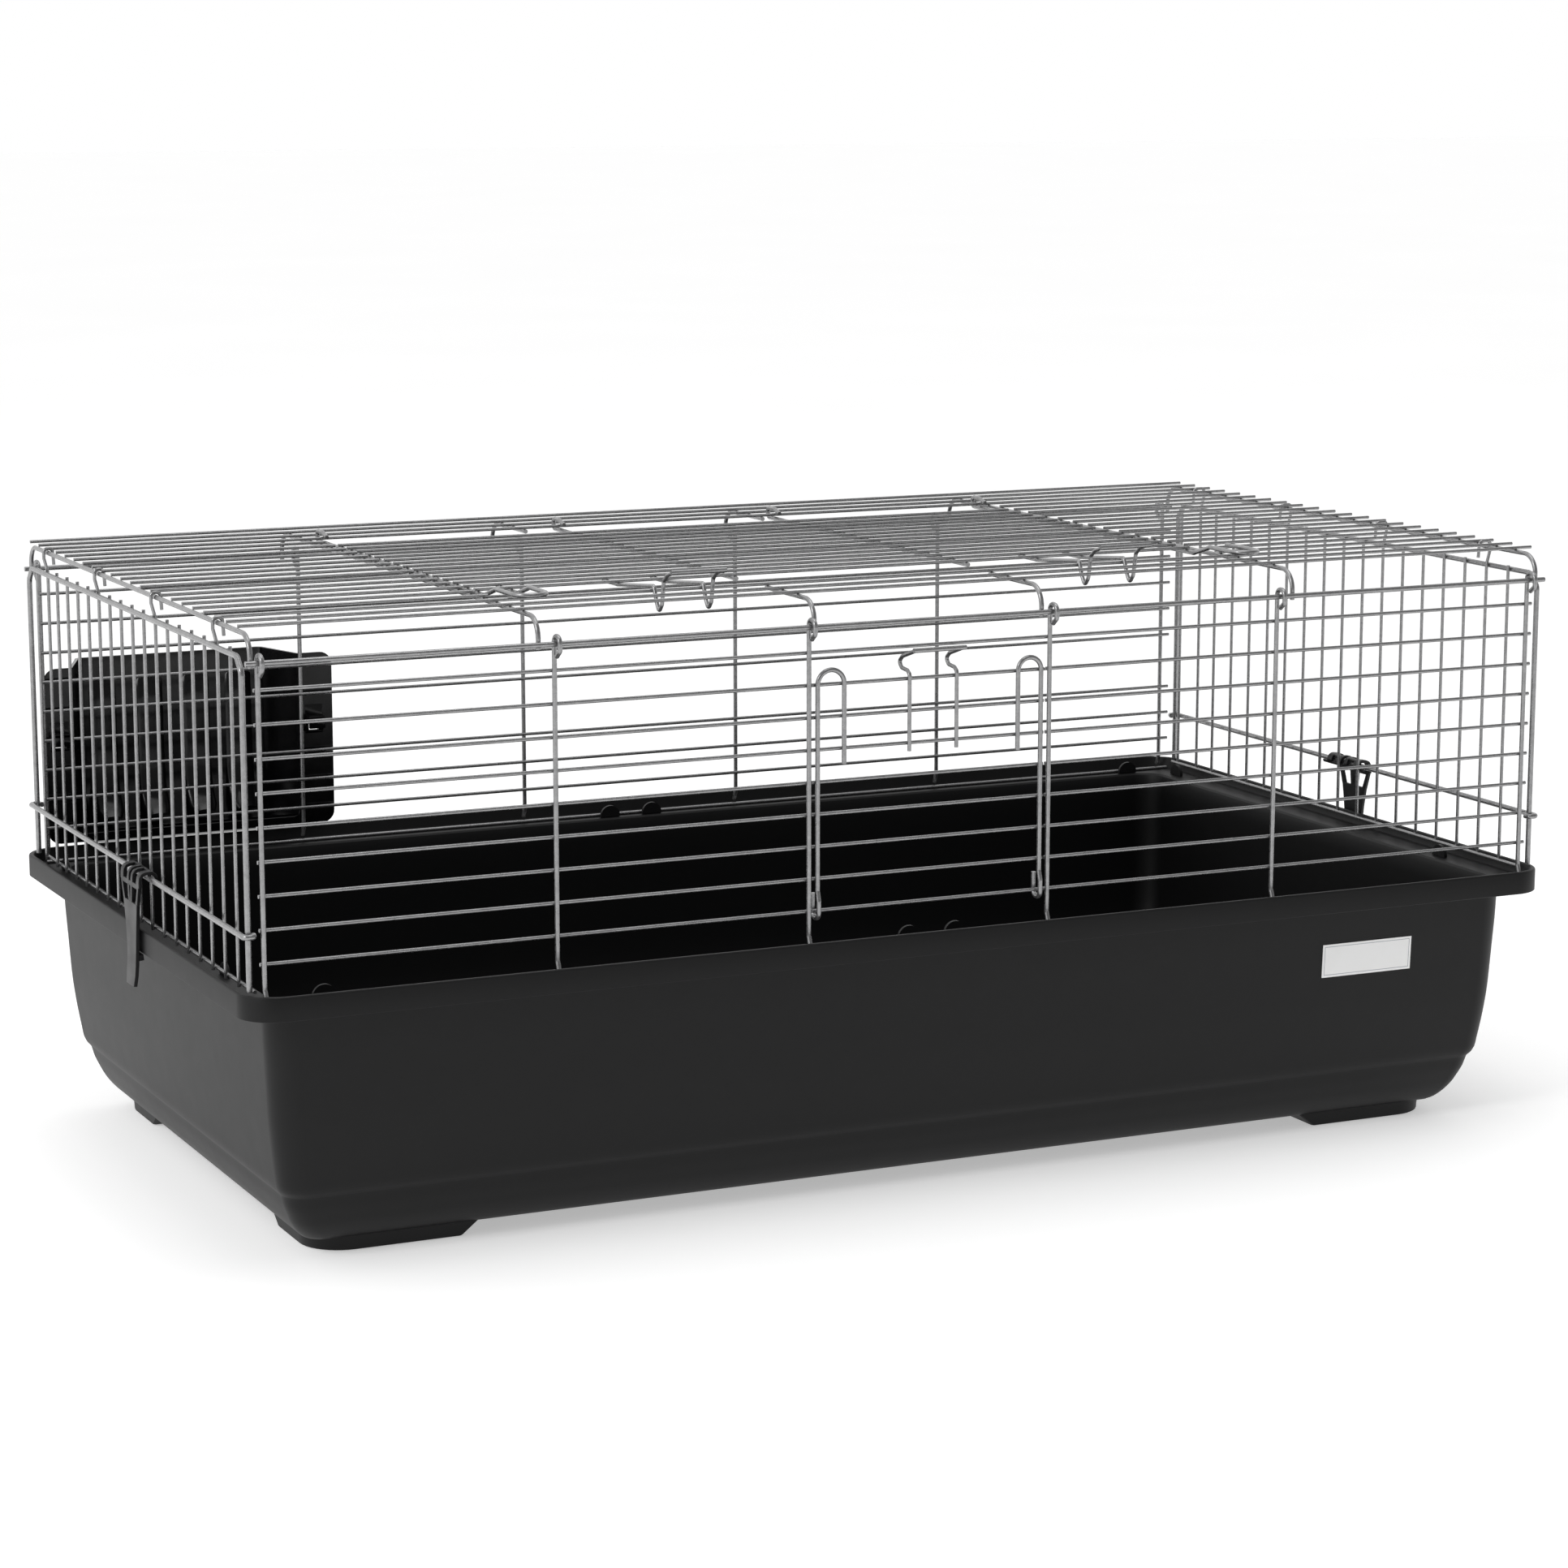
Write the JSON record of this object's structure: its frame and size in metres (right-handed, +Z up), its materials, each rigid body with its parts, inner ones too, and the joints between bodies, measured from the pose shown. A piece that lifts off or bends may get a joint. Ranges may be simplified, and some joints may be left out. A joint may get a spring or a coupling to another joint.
{
  "type": "rabbit cage",
  "caption": "Long wire small-pet cage on a deep plastic tray, with a wire top door, a drop-down front door, side clips and an outside hay rack.",
  "frame": {"origin": "middle of the tray's length and depth, on the floor the feet stand on, 6 mm under the flat underside of the tray", "axes": "+X along the cage to the right seen from the front, +Y to the back, +Z up; the front door faces -Y"},
  "size_m": [1.0163, 0.5938, 0.443],
  "materials": {
    "zinc_wire": "bright zinc-plated steel wire, lightly satin",
    "tray_plastic": "moulded black plastic with a fine satin grain",
    "clip_plastic": "moulded black plastic",
    "rack_plastic": "glossy moulded black plastic",
    "label_paper": "plain white self-adhesive label"
  },
  "bodies": {
    "cage": {"tray": "tray_plastic", "tray_tabs": "tray_plastic", "label": "label_paper", "roof_bars": "zinc_wire", "roof_left_cross_wires": "zinc_wire", "roof_right_cross_wires": "zinc_wire", "roof_front_cross_wires": "zinc_wire", "roof_back_cross_wires": "zinc_wire", "roof_back_wires": "zinc_wire", "roof_front_wires": "zinc_wire", "roof_left_wires": "zinc_wire", "roof_right_wires": "zinc_wire", "front_left_uprights": "zinc_wire", "front_right_uprights": "zinc_wire", "front_left_rows": "zinc_wire", "front_right_rows": "zinc_wire", "front_top_row": "zinc_wire", "front_low_rows": "zinc_wire", "back_uprights": "zinc_wire", "back_rows": "zinc_wire", "left_frame": "zinc_wire", "left_uprights": "zinc_wire", "left_latch_bar": "zinc_wire", "left_bottom_wire": "zinc_wire", "right_frame": "zinc_wire", "right_uprights": "zinc_wire", "right_latch_bar": "zinc_wire", "right_bottom_wire": "zinc_wire"},
    "top_door": {"top_door_wires": "zinc_wire", "top_door_cross_wires": "zinc_wire", "top_door_side_wires": "zinc_wire", "top_latch_left": "zinc_wire", "top_latch_right": "zinc_wire"},
    "front_door": {"front_door_rows": "zinc_wire", "front_door_side_wires": "zinc_wire", "front_door_latch": "zinc_wire"},
    "left_clip": {"left_clip": "clip_plastic"},
    "right_clip": {"right_clip": "clip_plastic"},
    "hay_rack": {"hay_rack": "rack_plastic"}
  },
  "joints": [
    {"name": "top_door_hinge", "type": "hinge", "parent": "cage", "child": "top_door", "pos_m": [0, 0.19459, 0.42505], "axis": [-1, 0, 0], "range_deg": [0, 165]},
    {"name": "front_door_hinge", "type": "hinge", "parent": "cage", "child": "front_door", "pos_m": [0, -0.2596, 0.2088], "axis": [1, 0, 0], "range_deg": [0, 118]},
    {"name": "left_clip_hinge", "type": "hinge", "parent": "cage", "child": "left_clip", "pos_m": [-0.4958, -0.03, 0.2277], "axis": [0, 1, 0], "range_deg": [0, 50]},
    {"name": "right_clip_hinge", "type": "hinge", "parent": "cage", "child": "right_clip", "pos_m": [0.4997, -0.0058, 0.2277], "axis": [0, -1, 0], "range_deg": [0, 50]},
    {"name": "hay_rack_lift", "type": "slide", "parent": "cage", "child": "hay_rack", "axis": [0, 0, 1], "range_m": [0, 0.014]}
  ]
}
